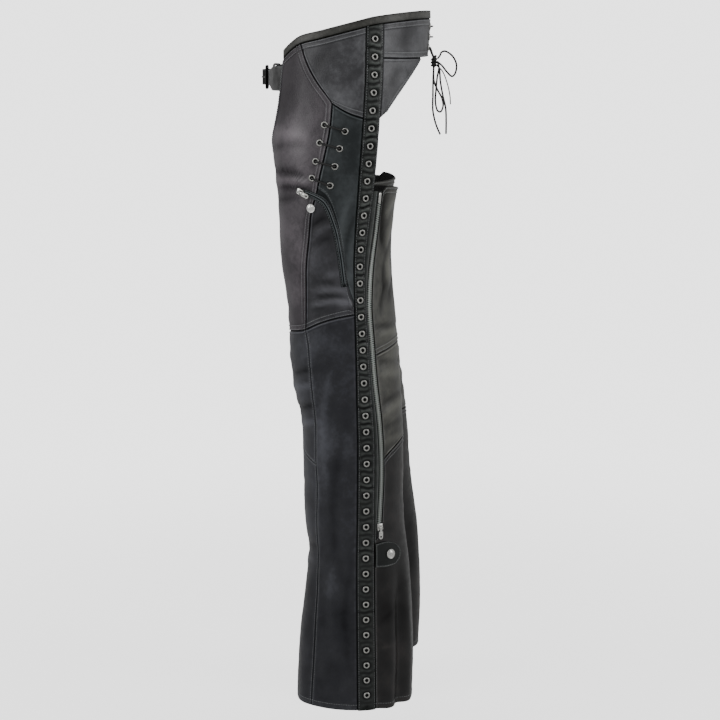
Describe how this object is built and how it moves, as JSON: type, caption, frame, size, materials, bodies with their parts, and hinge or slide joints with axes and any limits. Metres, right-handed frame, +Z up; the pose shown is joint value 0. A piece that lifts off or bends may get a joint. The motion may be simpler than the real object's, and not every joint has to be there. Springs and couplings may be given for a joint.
{
  "type": "leather chaps",
  "caption": "Open-seated leather chaps with a front belt, laced back yoke, eyelet side strips, zipped legs and curved thigh pockets.",
  "frame": {"origin": "centre of the waist, where the wearer holds the garment up", "axes": "+Z up, the wearer faces -Y, the wearer's left is +X"},
  "size_m": [0.4002, 0.3037, 1.0629],
  "materials": {
    "thigh_leather": "semi-matt grain with a worn sheen",
    "yoke_leather": "semi-matt grain with a worn sheen",
    "side_leather": "semi-matt grain",
    "strip_leather": "semi-matt grain",
    "shin_leather": "semi-matt grain",
    "back_leather": "creased semi-matt grain",
    "calf_leather": "creased semi-matt grain",
    "belt_leather": "smooth semi-gloss",
    "lace": "round braided lace, matt",
    "zip_metal": "tumbled metal teeth",
    "nickel": "polished nickel plate",
    "dark_metal": "black gloss"
  },
  "bodies": {
    "garment": {"left_waistband": "yoke_leather", "left_front_thigh": "thigh_leather", "left_hip_yoke": "yoke_leather", "left_side_thigh": "side_leather", "left_pocket_panel": "side_leather", "left_front_knee": "shin_leather", "left_front_shin": "shin_leather", "left_side_shin": "shin_leather", "left_back_thigh": "back_leather", "left_back_knee": "back_leather", "left_back_calf": "calf_leather", "left_back_yoke": "yoke_leather", "left_back_gusset": "yoke_leather", "left_eyelet_strip": "strip_leather", "left_side_zip": "zip_metal", "left_pocket_welt": "side_leather", "left_snap_tab": "side_leather", "left_pocket_snap": "nickel", "left_tab_snap": "nickel", "left_side_zip_slider": "nickel", "left_pocket_slider": "nickel", "left_pocket_lace": "lace", "right_waistband": "yoke_leather", "right_front_thigh": "thigh_leather", "right_hip_yoke": "yoke_leather", "right_side_thigh": "side_leather", "right_pocket_panel": "side_leather", "right_front_knee": "shin_leather", "right_front_shin": "shin_leather", "right_side_shin": "shin_leather", "right_back_thigh": "back_leather", "right_back_knee": "back_leather", "right_back_calf": "calf_leather", "right_back_yoke": "yoke_leather", "right_back_gusset": "yoke_leather", "right_eyelet_strip": "strip_leather", "right_side_zip": "zip_metal", "right_pocket_welt": "side_leather", "right_snap_tab": "side_leather", "right_pocket_snap": "nickel", "right_tab_snap": "nickel", "right_side_zip_slider": "nickel", "right_pocket_slider": "nickel", "right_pocket_lace": "lace", "belt_right_strap": "belt_leather", "belt_left_strap": "belt_leather", "belt_buckle": "dark_metal", "belt_keeper": "belt_leather", "back_lace_bars": "lace", "back_lace_side": "lace", "bow_loop_left": "lace", "bow_loop_right": "lace", "lace_end_long": "lace", "lace_end_middle": "lace", "lace_end_thin": "lace", "lace_knot": "lace"},
    "left_side_zip_pull_tab": {"left_side_zip_pull": "nickel"},
    "right_side_zip_pull_tab": {"right_side_zip_pull": "nickel"},
    "left_pocket_pull_tab": {"left_pocket_pull": "nickel"},
    "right_pocket_pull_tab": {"right_pocket_pull": "nickel"}
  },
  "joints": [
    {"name": "left_side_zip_pull_swing", "type": "hinge", "parent": "garment", "child": "left_side_zip_pull_tab", "pos_m": [0.18597, 0.04785, -0.79557], "axis": [0.4564, -0.8898, 0], "range_deg": [-12, 150]},
    {"name": "right_side_zip_pull_swing", "type": "hinge", "parent": "garment", "child": "right_side_zip_pull_tab", "pos_m": [-0.18597, 0.06631, -0.79557], "axis": [0.4564, 0.8898, 0], "range_deg": [-12, 150]},
    {"name": "left_pocket_pull_swing", "type": "hinge", "parent": "garment", "child": "left_pocket_pull_tab", "pos_m": [0.18102, -0.07375, -0.28545], "axis": [-0.2147, -0.295, -0.9311], "range_deg": [-15, 150]},
    {"name": "right_pocket_pull_swing", "type": "hinge", "parent": "garment", "child": "right_pocket_pull_tab", "pos_m": [-0.18102, -0.07383, -0.28545], "axis": [-0.2147, 0.295, 0.9311], "range_deg": [-15, 150]}
  ]
}
